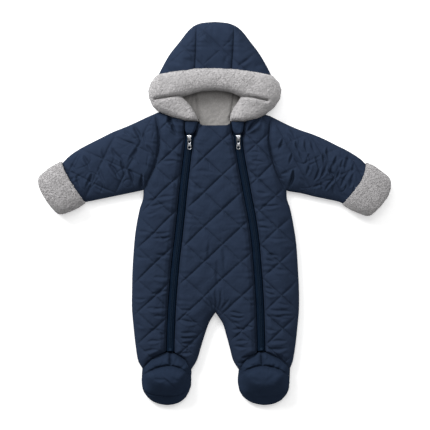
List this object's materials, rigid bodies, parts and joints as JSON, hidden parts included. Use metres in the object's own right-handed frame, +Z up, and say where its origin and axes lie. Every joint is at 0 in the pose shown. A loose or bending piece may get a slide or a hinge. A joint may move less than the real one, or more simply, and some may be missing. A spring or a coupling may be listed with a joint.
{
  "type": "baby snowsuit",
  "caption": "Quilted all-in-one baby snowsuit laid flat, with pile-trimmed hood and cuffs, closed feet and front zips from neck to ankles.",
  "frame": {"origin": "on the surface it lies on, under the middle of the suit's plan outline", "axes": "+Z up out of the front, +Y from the feet to the hood, +X to the wearer's left"},
  "size_m": [0.6996, 0.7637, 0.058],
  "materials": {
    "navy_quilt": "matt navy plain-weave shell, quilted in diamonds over wadding",
    "navy_plain": "matt navy plain-weave shell, padded but not quilted",
    "zip_navy": "dark navy woven zip tape with a moulded coil of teeth",
    "sherpa_grey": "light grey curly pile",
    "lining_grey": "short grey pile lining",
    "zip_metal": "bright nickel-plated zinc"
  },
  "bodies": {
    "garment": {"back_panel": "navy_quilt", "front_centre": "navy_quilt", "front_side_l": "navy_quilt", "front_side_r": "navy_quilt", "sleeve_l": "navy_quilt", "sleeve_r": "navy_quilt", "hood_back": "navy_quilt", "hood_crown": "navy_quilt", "hood_side_l": "navy_quilt", "hood_side_r": "navy_quilt", "gusset_inner_l": "navy_plain", "gusset_inner_r": "navy_plain", "gusset_outer_l": "navy_plain", "gusset_outer_r": "navy_plain", "toe_cap_l": "navy_plain", "toe_cap_r": "navy_plain", "sole_l": "navy_plain", "sole_r": "navy_plain", "zip_guard_l": "navy_plain", "zip_guard_r": "navy_plain", "zip_tape_l": "zip_navy", "zip_tape_r": "zip_navy", "hood_brim": "sherpa_grey", "cuff_l": "sherpa_grey", "cuff_r": "sherpa_grey", "hood_lining_middle": "lining_grey", "hood_lining_side_l": "lining_grey", "hood_lining_side_r": "lining_grey", "zip_slider_l": "zip_metal", "zip_slider_r": "zip_metal"},
    "pull_left": {"zip_pull_l": "zip_metal"},
    "pull_right": {"zip_pull_r": "zip_metal"}
  },
  "joints": [
    {"name": "pull_left_swing", "type": "hinge", "parent": "garment", "child": "pull_left", "pos_m": [0.04638, 0.151, 0.0352], "axis": [-1, 0, 0], "range_deg": [0, 150]},
    {"name": "pull_right_swing", "type": "hinge", "parent": "garment", "child": "pull_right", "pos_m": [-0.0509, 0.151, 0.0352], "axis": [-1, 0, 0], "range_deg": [0, 150]}
  ]
}
